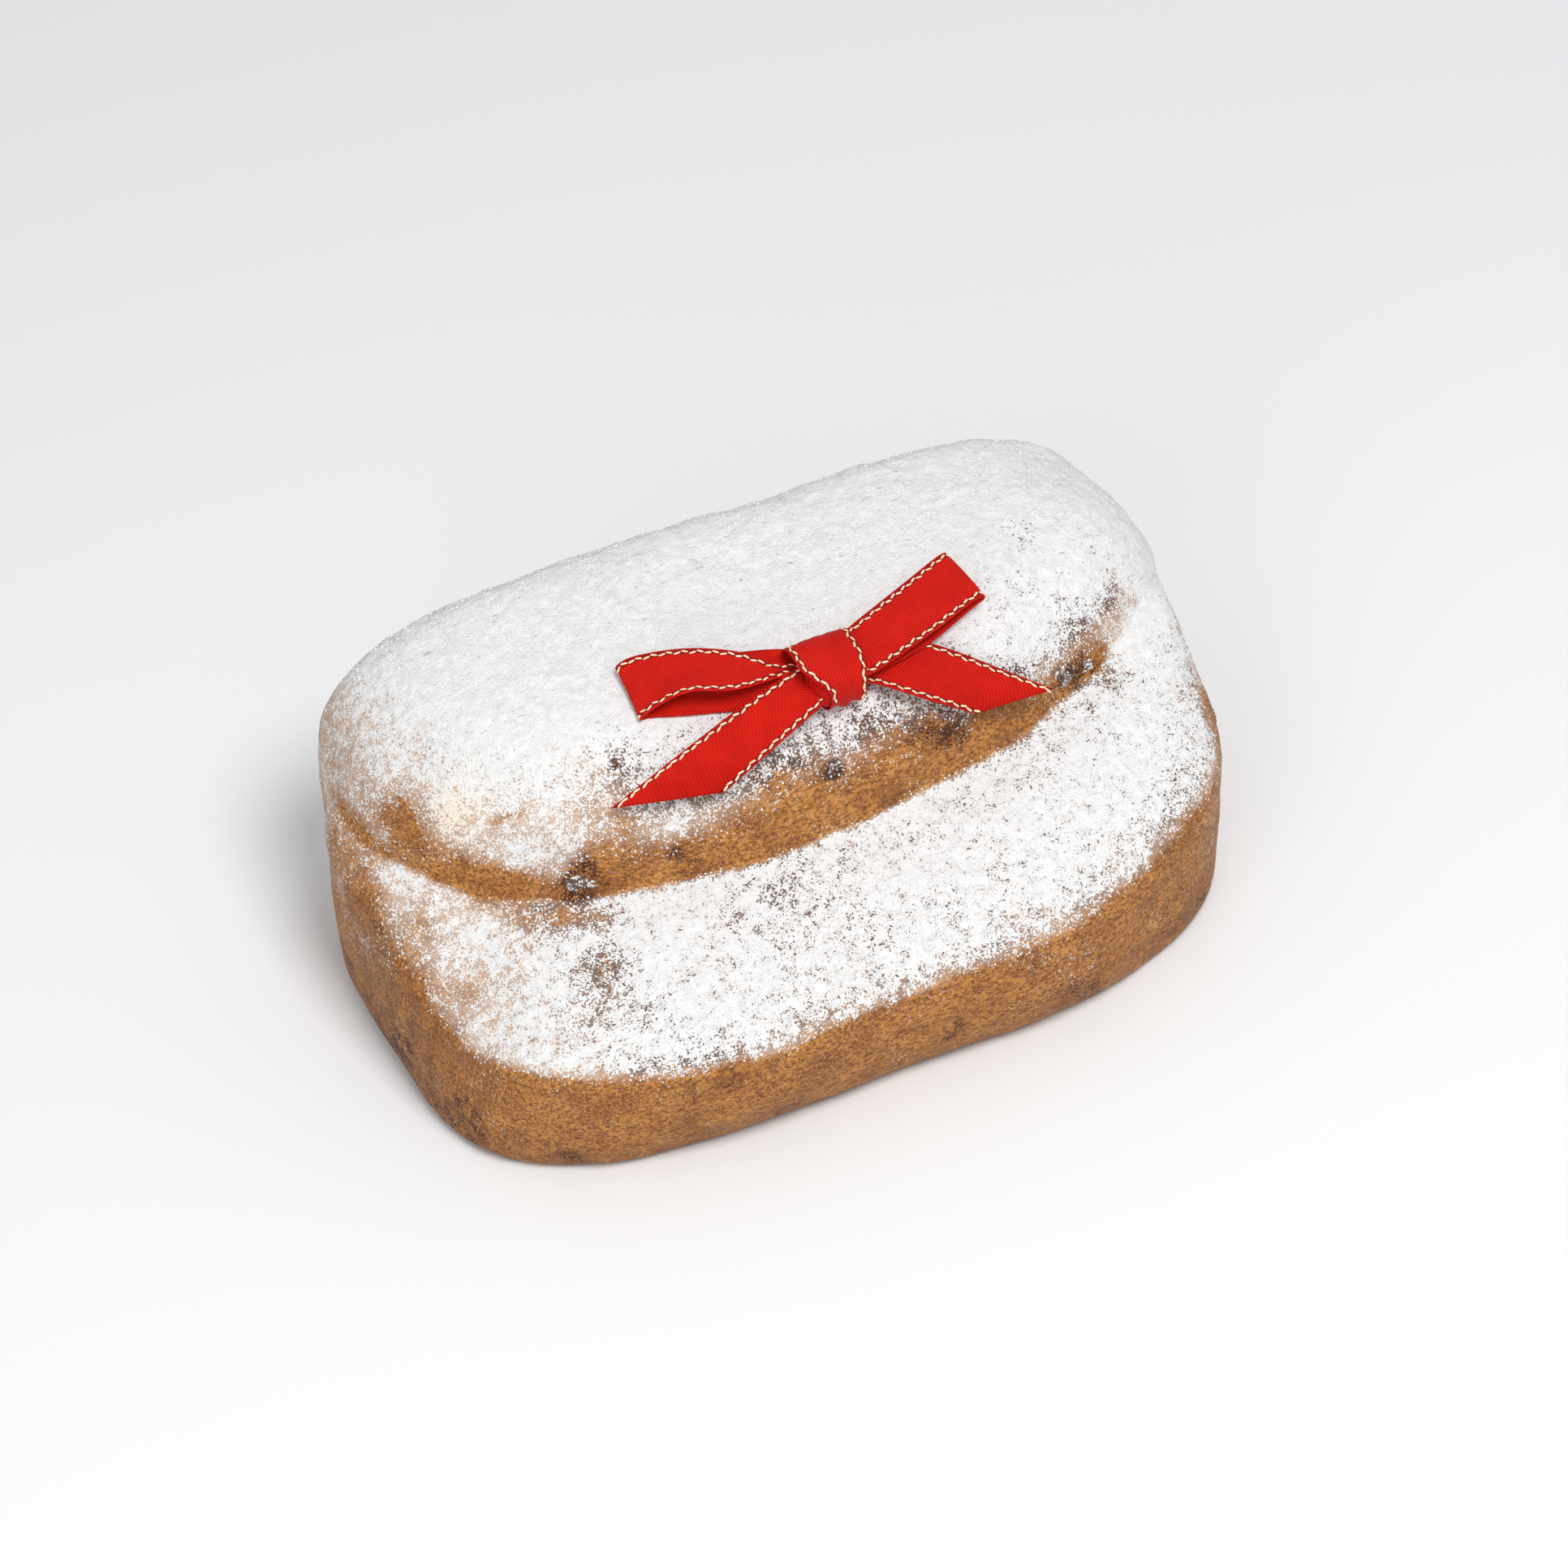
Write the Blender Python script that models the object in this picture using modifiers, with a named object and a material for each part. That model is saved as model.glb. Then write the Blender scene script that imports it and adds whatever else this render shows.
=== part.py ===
"""A Christmas stollen: a folded sweet loaf with raisins in its crust and a ribbon bow on top.

Row frame: metres, +Z up. The origin is at the middle of the flat underside, +X runs along the
loaf, and -Y is the front, where the lower layer of dough shows below the folded lobe. Places on
the dough are given from a point near that middle, and OFFSET carries them all to the origin.
"""

import math

import bmesh
import bpy
from mathutils import Vector, noise

# ---- Driving dimensions, in metres --------------------------------------------------------
MM = 0.001
CLEARANCE = 0.4 * MM        # how much larger a raisin's pocket is, all round

LUMP_HEIGHT = 1.6 * MM      # unevenness of the risen dough
LUMP_SPACING = 42 * MM
LOAF_GRID = 19              # faces along each side of a pillow's cage
# Where the dough has risen more, or sunk: place, radius and push, in millimetres.
SWELLS = (
    ((101, 9, 54), 24, (3.5, 0, 4.5)),
    ((-97, -25, 46), 20, (3, 3, -5)),
)
BOARD_SIZE = 400 * MM
# From the point that the dough is measured from to the middle of the whole object.
OFFSET = Vector((-2.4, -0.35, 0)) * MM

RIBBON_THICKNESS = 0.6 * MM
KNOT_CENTRE = Vector((10.3, -10.6, 86.9)) * MM
KNOT_HALF = Vector((6.4, 7.2, 6.2)) * MM

CRUST = (0.48, 0.24, 0.075)
RAISIN = (0.055, 0.022, 0.018)
RED = (0.62, 0.012, 0.012)


# ---- Scene ---------------------------------------------------------------------------------
def clear_scene():
    for obj in list(bpy.data.objects):
        bpy.data.objects.remove(obj, do_unlink=True)


def new_collection(name):
    collection = bpy.data.collections.new(name)
    bpy.context.scene.collection.children.link(collection)
    return collection


def principled(name, colour, roughness):
    material = bpy.data.materials.new(name)
    material.use_nodes = True
    shader = material.node_tree.nodes["Principled BSDF"]
    shader.inputs["Base Color"].default_value = (*colour, 1.0)
    shader.inputs["Roughness"].default_value = roughness
    shader.inputs["Metallic"].default_value = 0.0
    return material


def object_from(bm, name, collection, material=None):
    """Turn a bmesh into a smooth-shaded object."""
    bmesh.ops.recalc_face_normals(bm, faces=bm.faces)
    mesh = bpy.data.meshes.new(name)
    bm.to_mesh(mesh)
    bm.free()
    mesh.shade_smooth()
    obj = bpy.data.objects.new(name, mesh)
    collection.objects.link(obj)
    if material:
        mesh.materials.append(material)
    return obj


def as_helper(obj):
    obj.hide_render = True
    obj.display_type = "WIRE"


def boolean(obj, helper, operation):
    modifier = obj.modifiers.new(f"{operation.lower()}_{helper.name}", "BOOLEAN")
    modifier.operation = operation
    modifier.solver = "EXACT"
    modifier.object = helper
    as_helper(helper)


# ---- Loaf ----------------------------------------------------------------------------------
class Pillow:
    """A soft mound of dough that is widest at its centre's height.

    reach: how far it goes left, right, forward and back from its centre. height and depth: how
    far it goes up and down. corners: how square it is in plan at the front left, the front right
    and the back. shoulders: how square it is between wall and top, at the sides and at the ends.
    lean and tilt: how much the top climbs towards the back and towards the right.
    """

    def __init__(self, centre, reach, height, depth, corners, shoulders, lean=0.0, tilt=0.0):
        self.centre = Vector(centre) * MM
        self.left, self.right, self.front, self.back = (side * MM for side in reach)
        self.height = height * MM
        self.depth = depth * MM
        self.front_left, self.front_right, self.back_corner = corners
        self.side_shoulder, self.end_shoulder = shoulders
        self.lean = lean
        self.tilt = tilt

    def corner(self, ray):
        if ray.y > 0:
            return self.back_corner
        return self.front_right if ray.x > 0 else self.front_left

    def onto_surface(self, point):
        """The surface point on the ray that runs from the centre through this point."""
        ray = point - self.centre
        corner = self.corner(ray)
        end_part = abs(ray.x / (self.right if ray.x > 0 else self.left)) ** corner
        side_part = abs(ray.y / (self.back if ray.y > 0 else self.front)) ** corner
        plan = (end_part + side_part) ** (1 / corner)
        end_share = end_part / max(end_part + side_part, 1e-12)
        shoulder = self.side_shoulder + (self.end_shoulder - self.side_shoulder) * end_share
        rise = abs(ray.z) / (self.height if ray.z > 0 else self.depth)
        on = ray / (plan**shoulder + rise**shoulder) ** (1 / shoulder)
        if on.z > 0:
            on.z *= 1 + (self.lean * on.y + self.tilt * on.x) / self.height
        return self.centre + on

    def lumped(self, point):
        """The surface point, raised or sunk by the lumps of the dough."""
        on = self.onto_surface(point)
        for place, radius, push in SWELLS:
            away = (on - Vector(place) * MM).length / (radius * MM)
            on += Vector(push) * MM * math.exp(-away**2)
        lump = noise.noise(on / LUMP_SPACING) + 0.4 * noise.noise(on / LUMP_SPACING * 2.3)
        return on + (on - self.centre).normalized() * lump * LUMP_HEIGHT


BASE = Pillow(
    centre=(-0.5, -2, 25), reach=(99.5, 103, 62, 57), height=32.5, depth=40,
    corners=(3.0, 3.0, 5.0), shoulders=(2.6, 5.5), lean=0.27, tilt=0.06,
)
LOBE = Pillow(
    centre=(0.5, 31, 30), reach=(95, 103.5, 57.5, 33), height=55, depth=45,
    corners=(2.35, 2.6, 4.6), shoulders=(3.4, 4.2),
)


def pillow_object(name, pillow, collection, material):
    """A cube's even grid, thrown onto the pillow's surface."""
    bm = bmesh.new()
    bmesh.ops.create_cube(bm, size=2.0)
    bmesh.ops.subdivide_edges(bm, edges=bm.edges, cuts=LOAF_GRID - 1, use_grid_fill=True)
    for vert in bm.verts:
        # The tangent spaces the grid evenly in angle, so the faces come out alike in size.
        even = Vector(math.tan(side * math.pi / 4) for side in vert.co)
        length = (pillow.left + pillow.right) / 2
        width = (pillow.front + pillow.back) / 2
        outward = Vector((even.x * length, even.y * width, even.z * pillow.height))
        vert.co = pillow.lumped(pillow.centre + outward)
    return object_from(bm, name, collection, material)


def board_object(name, collection):
    """The space below z = 0, where the baking board is."""
    bm = bmesh.new()
    bmesh.ops.create_cube(bm, size=BOARD_SIZE)
    bmesh.ops.translate(bm, verts=bm.verts, vec=(0, 0, -BOARD_SIZE / 2))
    return object_from(bm, name, collection)


def build_loaf(parts, helpers):
    """The lower layer of dough and the lobe folded over it, baked into one on a flat board."""
    crust = principled("crust", CRUST, 0.8)
    loaf = pillow_object("loaf", BASE, parts, crust)
    boolean(loaf, pillow_object("lobe", LOBE, helpers, crust), "UNION")
    boolean(loaf, board_object("board", helpers), "DIFFERENCE")
    return loaf


# ---- Raisins -------------------------------------------------------------------------------
# Name: (the dough it sits in, a point near its place, its length, its width).
RAISINS = {
    "raisin_front_left": (LOBE, (-57, -19, 54), 12.0, 8.0),
    "raisin_front_right": (LOBE, (67, -15, 63), 8.0, 7.0),
    "raisin_fold_right": (LOBE, (74, -13, 60), 7.0, 5.5),
    "raisin_under_tail": (LOBE, (32, -19, 68), 10.0, 7.5),
    "raisin_top_left": (LOBE, (-43, -9, 78), 6.0, 4.0),
    "raisin_shoulder": (LOBE, (-11, -19, 69), 6.0, 5.0),
    "raisin_shoulder_small": (LOBE, (5, -21, 66), 5.0, 4.0),
    "raisin_back_left": (LOBE, (-48, 56, 62), 9.0, 7.0),
    "raisin_back_right": (LOBE, (37, 63, 45), 8.0, 6.5),
    "raisin_right_end": (BASE, (101, -22, 40), 8.0, 6.0),
}
RAISIN_SINK = 0.28          # how much of its width a raisin lies below the crust


def raisin_mesh(length, width, growth=0.0):
    """A shrivelled ellipsoid, flatter than it is wide."""
    bm = bmesh.new()
    bmesh.ops.create_uvsphere(bm, u_segments=11, v_segments=7, radius=1.0)
    half = Vector((length / 2, width / 2, width * 0.36))
    for vert in bm.verts:
        wrinkle = 1 + 0.12 * noise.noise(vert.co * 2.1)
        vert.co = Vector(a * (b * wrinkle + growth) for a, b in zip(vert.co, half))
    return bm


def place_raisin(obj, pillow, near, width):
    """Lay a raisin on the dough with its flat side along the surface."""
    on = pillow.lumped(near)
    step = 1 * MM
    along = pillow.lumped(near + Vector((step, 0, 0))) - pillow.lumped(near - Vector((step, 0, 0)))
    away = (on - pillow.centre).normalized()
    across = away.cross(along).normalized()
    rise = pillow.lumped(near + across * step) - pillow.lumped(near - across * step)
    normal = along.cross(rise).normalized()
    obj.location = on - normal * width * RAISIN_SINK
    obj.rotation_euler = normal.to_track_quat("Z", "Y").to_euler()


def build_raisins(parts, helpers, loaf):
    skin = principled("raisin_skin", RAISIN, 0.5)
    for name, (pillow, near, length, width) in RAISINS.items():
        near = Vector(near) * MM
        length = length * MM
        width = width * MM
        raisin = object_from(raisin_mesh(length, width), name, parts, skin)
        pocket = object_from(raisin_mesh(length, width, CLEARANCE), f"{name}_pocket", helpers)
        place_raisin(raisin, pillow, near, width)
        place_raisin(pocket, pillow, near, width)
        boolean(loaf, pocket, "DIFFERENCE")


# ---- Bow -----------------------------------------------------------------------------------
# Each run of the ribbon is a list of stations along it, from the knot outwards. A station is
# the point of its far edge and the point of its near edge, in millimetres from the knot's centre.
LEFT_LOOP = (
    ((-0.8, 2.2, 1), (-0.8, -0.2, -0.2)),
    ((-10, 3.6, 1.9), (-10.4, 1, 0.7)),
    ((-19.2, 10.6, 3.8), (-23.6, 0.7, 2.2)),
    ((-29.3, 16.6, 3.6), (-33.3, 4.1, 2.8)),
    ((-39.3, 20.6, 2.2), (-40.8, 6, -0.4)),
    ((-43.6, 21.1, 0.4), (-44.2, 6.8, -3.6)),
    ((-40.8, 20.6, -1.2), (-41.6, 7.4, -4.6)),
    ((-26.8, 17.1, -1), (-32.3, 4, -4.7)),
    ((-14.4, 11.4, 1), (-19.8, 0.6, -5.2)),
    ((-7.5, 8, 1.4), (-9.8, -0.9, -3.8)),
    ((-0.8, 5, 0), (-0.8, -1.4, -3.4)),
)
RIGHT_LOOP = (
    ((0.2, 2.6, 2.8), (0.2, -4.4, -0.2)),
    ((6.3, 5.5, 3.8), (7, -5.9, -0.7)),
    ((20.7, 11.3, 4.2), (22.8, -1.6, 0.3)),
    ((35.4, 17.8, 3.8), (38.8, 4.8, -0.2)),
    ((37.6, 18.4, 2.2), (40.8, 5.4, -1.6)),
    ((34.4, 17.6, 0.4), (37.6, 5.4, -3.2)),
    ((20.2, 11.8, 0), (22.6, -0.4, -4)),
    ((7.2, 6, 0.6), (7.6, -3.9, -2.8)),
    ((0.2, 3.6, -0.2), (0.2, -3.4, -2.7)),
)
LEFT_TAIL = (
    ((0.2, 1.8, 0.4), (0.2, -4.8, -3)),
    ((-9, 1.6, 0.9), (-4.6, -7, -3)),
    ((-30, -1.6, -4.6), (-19.8, -10.3, -8.7)),
    ((-57.8, -6, -13.9), (-33.1, -13, -13.7)),
)
RIGHT_TAIL = (
    ((0.2, 3.6, -2.2), (0.2, -3.4, -3.2)),
    ((9.2, 5.4, -2.6), (7.4, -4.8, -4.2)),
    ((24.7, 1.6, -5.2), (19.1, -11, -9.7)),
    ((49.2, -13.2, -17.7), (29, -14, -15.7)),
)
STEPS_PER_STATION = 4       # strips of ribbon between two stations


def spline(points, steps):
    """A smooth curve through all the points (Catmull-Rom)."""
    padded = [2 * points[0] - points[1], *points, 2 * points[-1] - points[-2]]
    curve = []
    for i in range(1, len(padded) - 2):
        before, start, end, after = padded[i - 1:i + 3]
        for step in range(steps):
            t = step / steps
            leave = (end - before) / 2
            arrive = (after - start) / 2
            curve.append(
                start * (2 * t**3 - 3 * t**2 + 1)
                + leave * (t**3 - 2 * t**2 + t)
                + end * (3 * t**2 - 2 * t**3)
                + arrive * (t**3 - t**2)
            )
    curve.append(points[-1])
    return curve


def ribbon_object(name, stations, collection, material):
    """A strip of ribbon through its stations, thickened equally to both sides."""
    far = spline([KNOT_CENTRE + Vector(far) * MM for far, near in stations], STEPS_PER_STATION)
    near = spline([KNOT_CENTRE + Vector(near) * MM for far, near in stations], STEPS_PER_STATION)
    bm = bmesh.new()
    far_verts = [bm.verts.new(point) for point in far]
    near_verts = [bm.verts.new(point) for point in near]
    for i in range(len(far) - 1):
        bm.faces.new((far_verts[i], near_verts[i], near_verts[i + 1], far_verts[i + 1]))
    obj = object_from(bm, name, collection, material)
    solidify = obj.modifiers.new("thickness", "SOLIDIFY")
    solidify.thickness = RIBBON_THICKNESS
    solidify.offset = 0.0
    solidify.use_even_offset = True
    return obj


def knot_object(name, collection, material):
    """The turn of ribbon round the middle: a short barrel that lies along X."""
    bm = bmesh.new()
    bmesh.ops.create_cone(bm, cap_ends=True, segments=28, radius1=1.0, radius2=1.0, depth=2.0)
    sides = [edge for edge in bm.edges if abs(edge.verts[0].co.z - edge.verts[1].co.z) > 1]
    bmesh.ops.subdivide_edges(bm, edges=sides, cuts=5)
    for vert in bm.verts:
        barrel = 1 - 0.14 * vert.co.z**2
        vert.co = Vector((
            vert.co.z * KNOT_HALF.x,
            vert.co.x * barrel * KNOT_HALF.y,
            vert.co.y * barrel * KNOT_HALF.z,
        ))
        vert.co += KNOT_CENTRE
    return object_from(bm, name, collection, material)


def build_bow(parts, helpers):
    """One length of ribbon tied in a bow: two loops and two tails out of one knot."""
    red = principled("ribbon_red", RED, 0.45)
    bow = knot_object("ribbon_bow", parts, red)
    runs = {
        "left_loop": LEFT_LOOP,
        "right_loop": RIGHT_LOOP,
        "left_tail": LEFT_TAIL,
        "right_tail": RIGHT_TAIL,
    }
    for name, stations in runs.items():
        boolean(bow, ribbon_object(name, stations, helpers, red), "UNION")
    return bow


def centre_on_origin(parts):
    """Carry every object on one empty, so that the origin is under the middle of the whole."""
    carrier = bpy.data.objects.new("carrier", None)
    parts.objects.link(carrier)
    for obj in bpy.data.objects:
        if obj.type == "MESH":
            obj.parent = carrier
    carrier.location = OFFSET


def main():
    clear_scene()
    parts = new_collection("stollen")
    helpers = new_collection("cutters")
    loaf = build_loaf(parts, helpers)
    build_raisins(parts, helpers, loaf)
    build_bow(parts, helpers)
    centre_on_origin(parts)


main()
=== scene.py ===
"""The finished look of the Christmas stollen: browned crust, icing sugar, raisins and a ribbon bow.

Metres, +Z up, the loaf along X and its folded edge to the front. Places on the dough and the bow
are measured as in the CAD source, from a point near the loaf's middle; OFFSET takes them from there
to the row frame.
"""

import math
import random

import bmesh
import bpy
import numpy as np
from mathutils import Matrix, Vector, noise


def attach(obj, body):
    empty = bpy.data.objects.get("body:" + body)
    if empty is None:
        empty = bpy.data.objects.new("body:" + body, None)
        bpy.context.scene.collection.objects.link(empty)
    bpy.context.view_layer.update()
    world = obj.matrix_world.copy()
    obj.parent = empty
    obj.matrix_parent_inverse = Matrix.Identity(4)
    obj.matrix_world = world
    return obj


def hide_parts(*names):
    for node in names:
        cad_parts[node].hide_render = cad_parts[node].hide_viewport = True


MM = 0.001
OFFSET = np.array((-2.4, -0.35, 0)) * MM

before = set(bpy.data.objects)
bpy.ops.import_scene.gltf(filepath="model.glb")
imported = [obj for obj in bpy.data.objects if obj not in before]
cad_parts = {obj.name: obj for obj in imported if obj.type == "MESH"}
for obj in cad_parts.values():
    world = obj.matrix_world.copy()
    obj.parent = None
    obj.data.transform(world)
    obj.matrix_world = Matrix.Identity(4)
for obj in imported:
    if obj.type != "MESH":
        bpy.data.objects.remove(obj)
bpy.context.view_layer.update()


# ---- Small tools for meshes ------------------------------------------------------------------
def object_from(name, mesh, material=None):
    """A smooth-shaded object of this mesh, linked to the scene."""
    mesh.shade_smooth()
    if material:
        mesh.materials.append(material)
    obj = bpy.data.objects.new(name, mesh)
    obj.location = OFFSET
    bpy.context.scene.collection.objects.link(obj)
    return obj


def mesh_from(name, points, faces):
    mesh = bpy.data.meshes.new(name)
    mesh.from_pydata(points, [], faces)
    mesh.update()
    return mesh


def read(mesh, what):
    """The places or the normals of all vertices, as rows of x, y, z."""
    values = np.empty(len(mesh.vertices) * 3, np.float32)
    mesh.vertices.foreach_get(what, values)
    return values.reshape(-1, 3).astype(float)


def move_to(mesh, points):
    mesh.vertices.foreach_set("co", points.astype(np.float32).ravel())
    mesh.update()


def paint(mesh, name, values):
    """Store one number per vertex for the material to read."""
    layer = mesh.attributes.new(name, "FLOAT", "POINT")
    layer.data.foreach_set("value", values.astype(np.float32))


def relax(mesh, rounds):
    """Move every vertex to the middle of its neighbours, this many times."""
    points = read(mesh, "co")
    edges = np.empty(len(mesh.edges) * 2, np.int32)
    mesh.edges.foreach_get("vertices", edges)
    start, end = edges.reshape(-1, 2).T
    count = np.bincount(start, minlength=len(points)) + np.bincount(end, minlength=len(points))
    for _ in range(rounds):
        around = np.zeros_like(points)
        for axis in range(3):
            around[:, axis] += np.bincount(start, points[end, axis], len(points))
            around[:, axis] += np.bincount(end, points[start, axis], len(points))
        points = 0.4 * points + 0.6 * around / count[:, None]
    move_to(mesh, points)


def noise_at(points, size, seed=0):
    """Smooth noise from about -1 to 1 at these points, with lumps of this size."""
    shift = Vector((seed * 1.37, seed * 2.11, seed * 0.73))
    return np.array([noise.noise(Vector(point) / size + shift) for point in points])


def close_to(points, place, radius):
    """1 at a place in millimetres, falling to 0 outside the radius."""
    return np.exp(-(np.linalg.norm(points / MM - place, axis=1) / radius) ** 2)


def smoothstep(low, high, value):
    """0 up to low and 1 from high on, or the other way round, with an eased step between."""
    part = np.clip((value - low) / (high - low), 0, 1)
    return part * part * (3 - 2 * part)


# ---- Small tools for materials ---------------------------------------------------------------
class Shader:
    """A material under construction: each method adds one node and gives its output."""

    def __init__(self, name):
        self.material = bpy.data.materials.new(name)
        self.material.use_nodes = True
        self.tree = self.material.node_tree
        self.surface = self.tree.nodes["Principled BSDF"]

    def set(self, **values):
        """Values of the surface's own sockets: Sheen_Weight=0.2 sets Sheen Weight."""
        for name, value in values.items():
            self.surface.inputs[name.replace("_", " ")].default_value = value

    def link(self, source, name):
        self.tree.links.new(source, self.surface.inputs[name])

    def node(self, kind, inputs, output=0, **settings):
        made = self.tree.nodes.new(kind)
        for key, value in settings.items():
            setattr(made, key, value)
        for key, value in inputs.items():
            if isinstance(value, bpy.types.NodeSocket):
                self.tree.links.new(value, made.inputs[key])
            else:
                made.inputs[key].default_value = value
        return made.outputs[output]

    def place(self):
        return self.node("ShaderNodeTexCoord", {}, "Object")

    def uv(self, name):
        return self.node("ShaderNodeUVMap", {}, uv_map=name)

    def attribute(self, name):
        return self.node("ShaderNodeAttribute", {}, "Fac", attribute_name=name)

    def noise(self, place, size, detail, roughness=0.55):
        inputs = {"Vector": place, "Scale": 1 / size, "Detail": detail, "Roughness": roughness}
        return self.node("ShaderNodeTexNoise", inputs, "Fac")

    def grains(self, place, size):
        """Distance to the nearest of many scattered points, in cells of this size."""
        return self.node("ShaderNodeTexVoronoi", {"Vector": place, "Scale": 1 / size}, "Distance")

    def stretch(self, place, scale):
        return self.node("ShaderNodeMapping", {"Vector": place, "Scale": scale})

    def math(self, operation, first, second=0.0, third=0.0):
        return self.node("ShaderNodeMath", {0: first, 1: second, 2: third}, operation=operation)

    def range(self, value, low, high, new_low=0.0, new_high=1.0):
        """The value's range low to high, eased onto new_low to new_high and held there."""
        inputs = {
            "Value": value, "From Min": low, "From Max": high,
            "To Min": new_low, "To Max": new_high,
        }
        return self.node("ShaderNodeMapRange", inputs, interpolation_type="SMOOTHSTEP")

    def mix(self, factor, first, second):
        inputs = {"Factor": factor, 6: first, 7: second}
        return self.node("ShaderNodeMix", inputs, 2, data_type="RGBA")

    def bump(self, height, depth, before=None):
        inputs = {"Height": height, "Distance": depth, "Strength": 1.0}
        if before:
            inputs["Normal"] = before
        return self.node("ShaderNodeBump", inputs)


def rgb(red, green, blue):
    return (red, green, blue, 1.0)


SUGAR_WHITE = rgb(0.82, 0.812, 0.803)
SUGAR_SHADE = rgb(0.74, 0.726, 0.712)
CREAM_WHITE = rgb(0.87, 0.78, 0.65)
OCHRE = rgb(0.57, 0.240, 0.051)
TAN = rgb(0.34, 0.128, 0.028)
BROWN = rgb(0.165, 0.052, 0.015)
UMBER = rgb(0.055, 0.017, 0.010)
PORE = rgb(0.72, 0.41, 0.155)
FLECK = rgb(0.34, 0.28, 0.25)
THIN_SUGAR = rgb(0.79, 0.71, 0.63)
RED = rgb(0.64, 0.0095, 0.003)
DULL_RED = rgb(0.55, 0.007, 0.002)
GAP_RED = rgb(0.24, 0.002, 0.001)
SEAM_RED = rgb(0.16, 0.004, 0.003)
PALE_GOLD = rgb(0.95, 0.84, 0.63)
GOLD = rgb(0.70, 0.47, 0.22)

# How large the marks on the crust and in the sugar are.
MOTTLE_SIZE = 6 * MM
CRUMB_SIZE = 0.75 * MM
PORE_SIZE = 0.55 * MM
GRAIN_SIZE = 0.5 * MM
CLUMP_SIZE = 2.4 * MM
SPECK_SIZE = 1.2 * MM
FLECK_SIZE = 1.1 * MM
STREAKY = (0.55, 1.0, 1.0)      # draws marks out along the loaf
STREAKIER = (0.4, 1.0, 1.0)


def baked_colour(shader, place):
    """Ochre dough mottled with brown and pale pores. It goes near black where it is scorched,
    stained or damp, and where shade is painted: in the gaps between the sugar grains and at the
    lower left corner.

    Returns the colour and the fine grain in it.
    """
    streaks = shader.stretch(place, STREAKY)
    mottle = shader.noise(streaks, MOTTLE_SIZE, 5.0, 0.7)
    fine = shader.noise(streaks, CRUMB_SIZE, 3.0, 0.7)
    pores = shader.noise(place, PORE_SIZE, 2.0, 0.6)
    ochre = shader.mix(shader.range(mottle, 0.36, 0.64), OCHRE, TAN)
    baked = shader.mix(shader.range(fine, 0.36, 0.66, 0.0, 0.95), ochre, BROWN)
    pored = shader.mix(shader.range(pores, 0.54, 0.64, 0.0, 0.55), baked, PORE)
    sugared = shader.range(shader.attribute("cover"), 0.2, 0.5)
    # Painted shade: the gaps between the sugar grains go dark as well as damp, and the lower left
    # corner brings its painted shade in with the scorched crust.
    moist_and_shaded = shader.math("MULTIPLY", shader.attribute("brown"), sugared)
    shade = shader.math("MAXIMUM", moist_and_shaded, shader.attribute("burnt_and_shaded"))
    shade = shader.math("ADD", shade, shader.math("MULTIPLY_ADD", pores, 2.2, -1.1))
    shade = shader.range(shade, 0.30, 0.70)
    return shader.mix(shade, pored, UMBER), fine


def under_sugar(shader, place, under, relief):
    """Finish a material: icing sugar over what is under it, in grains where it is thin."""
    cover = shader.attribute("cover")
    grain = shader.noise(place, GRAIN_SIZE, 2.0, 0.65)
    clump = shader.noise(place, CLUMP_SIZE, 4.0, 0.7)
    fleck = shader.noise(shader.stretch(place, STREAKIER), FLECK_SIZE, 2.0, 0.6)
    rough = shader.math("ADD", grain, shader.math("MULTIPLY", clump, 0.75))
    level = shader.math("MULTIPLY_ADD", cover, 0.54, 0.605)
    level = shader.math("SUBTRACT", level, rough)
    white = shader.range(level, -0.015, 0.03)
    specks = shader.range(shader.grains(place, SPECK_SIZE), 0.25, 0.19)
    specks = shader.math("MULTIPLY", specks, shader.range(cover, 0.0, 0.2))
    white = shader.math("MAXIMUM", white, specks)

    sugar = shader.mix(shader.range(clump, 0.35, 0.65), SUGAR_WHITE, SUGAR_SHADE)
    sugar = shader.mix(shader.range(fleck, 0.66, 0.72, 0.0, 0.5), sugar, FLECK)
    sugar = shader.mix(shader.attribute("cream"), sugar, CREAM_WHITE)
    film = shader.range(cover, 0.10, 0.55, 0.0, 0.48)
    film = shader.math("MULTIPLY", film, shader.range(cover, 0.55, 0.85, 1.0, 0.4))
    # No film of thin sugar where the crust is dark, which takes in the damp, scorched and stained
    # crust and the painted shade.
    dark = shader.math("MAXIMUM", shader.attribute("brown"), shader.attribute("burnt_and_shaded"))
    film = shader.math("MULTIPLY", film, shader.math("SUBTRACT", 1.0, dark))
    dusted = shader.mix(film, under, THIN_SUGAR)
    filled = shader.mix(shader.range(cover, 0.90, 1.08, 0.0, 0.75), dusted, SUGAR_SHADE)
    shader.link(shader.mix(white, filled, sugar), "Base Color")
    shader.link(shader.range(white, 0.0, 1.0, 0.55, 0.95), "Roughness")
    ground = shader.bump(clump, 0.5 * MM, relief)
    shader.link(shader.bump(rough, -0.35 * MM, ground), "Normal")
    shader.set(Specular_IOR_Level=0.25)


def crust_material():
    """Baked dough and the icing sugar on it."""
    shader = Shader("sugared_crust")
    place = shader.place()
    baked, fine = baked_colour(shader, place)
    under_sugar(shader, place, baked, shader.bump(fine, 0.35 * MM))
    return shader.material


def clump_material():
    """Small lumps of icing sugar."""
    shader = Shader("sugar_crumbs")
    grain = shader.noise(shader.place(), 0.4 * MM, 2.0)
    shader.link(shader.mix(grain, SUGAR_WHITE, SUGAR_SHADE), "Base Color")
    shader.link(shader.bump(grain, 0.15 * MM), "Normal")
    shader.set(Roughness=1.0, Specular_IOR_Level=0.1)
    return shader.material


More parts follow.
